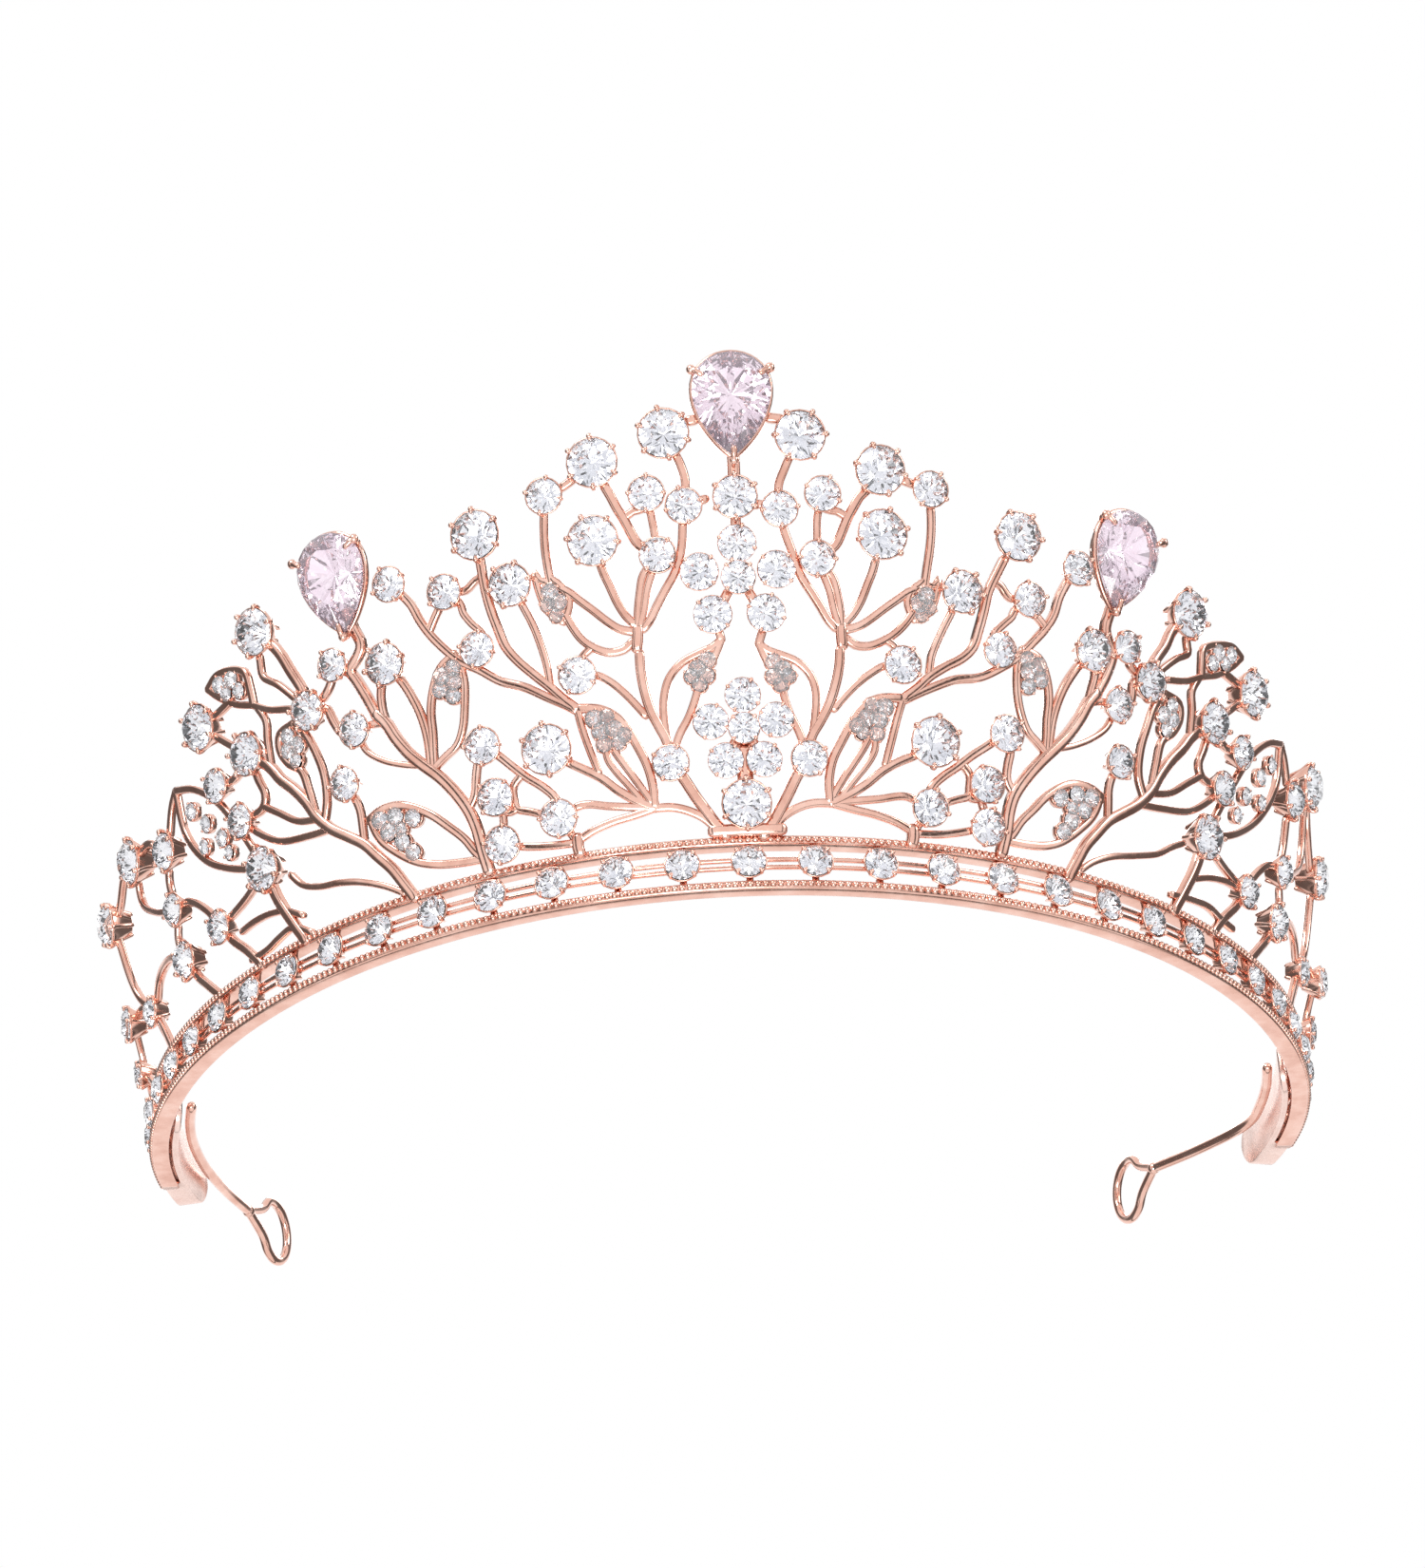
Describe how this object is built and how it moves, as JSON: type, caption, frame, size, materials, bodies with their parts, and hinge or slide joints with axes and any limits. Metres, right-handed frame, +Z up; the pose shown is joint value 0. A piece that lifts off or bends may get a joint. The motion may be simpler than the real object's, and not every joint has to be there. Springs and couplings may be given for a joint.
{
  "type": "bridal tiara",
  "caption": "Open-backed rose-gold tiara band with a flared open-work crest of claw-set crystal flowers, leaves and pear drops and a wire loop at each end.",
  "frame": {"origin": "centre of the part's footprint on the plane of the lower rail's underside", "axes": "+Z up the band, -Y out through the middle of the crest (the front), +X towards the wearer's left end loop"},
  "size_m": [0.159, 0.138, 0.0604],
  "materials": {
    "rose_gold": "polished rose-gold plated alloy, beaded edges",
    "rose_gold_satin": "smooth bright rose-gold strip",
    "crystal_clear": "round brilliant-cut clear stones",
    "crystal_blush": "pear-cut stones with a faint lilac-pink tint"
  },
  "bodies": {
    "root": {"band_cup_chain": "rose_gold", "band_lower_rail": "rose_gold", "band_upper_rail": "rose_gold", "centre_motif": "rose_gold", "column_stone_base": "crystal_clear", "column_stone_top": "crystal_clear", "crest_wing_left": "rose_gold", "crest_wing_right": "rose_gold", "end_loop_left": "rose_gold", "end_loop_right": "rose_gold", "end_tab_left": "rose_gold_satin", "end_tab_right": "rose_gold_satin", "inner_spray_left": "rose_gold", "inner_spray_right": "rose_gold", "inner_stone_low_left": "crystal_clear", "inner_stone_low_right": "crystal_clear", "inner_stone_mid_left": "crystal_clear", "inner_stone_mid_right": "crystal_clear", "inner_stone_top_left": "crystal_clear", "inner_stone_top_right": "crystal_clear", "lower_flower_center": "crystal_clear", "mid_spray_left": "rose_gold", "mid_spray_right": "rose_gold", "mid_stone_top_left": "crystal_clear", "mid_stone_top_right": "crystal_clear", "outer_spray_left": "rose_gold", "outer_spray_right": "rose_gold", "outer_stone_far_left": "crystal_clear", "outer_stone_far_right": "crystal_clear", "outer_stone_low_left": "crystal_clear", "outer_stone_low_right": "crystal_clear", "outer_stone_mid_left": "crystal_clear", "outer_stone_mid_right": "crystal_clear", "outer_stone_top_left": "crystal_clear", "outer_stone_top_right": "crystal_clear", "pear_stone_center": "crystal_blush", "pear_stone_left": "crystal_blush", "pear_stone_right": "crystal_blush", "side_spray_left": "rose_gold", "side_spray_right": "rose_gold", "side_stone_top_left": "crystal_clear", "side_stone_top_right": "crystal_clear", "upper_flower_center": "crystal_clear", "wing_stone_inner_left": "crystal_clear", "wing_stone_inner_right": "crystal_clear", "wing_stone_lower_left": "crystal_clear", "wing_stone_lower_right": "crystal_clear", "wing_stone_outer_left": "crystal_clear", "wing_stone_outer_right": "crystal_clear"}
  },
  "joints": []
}
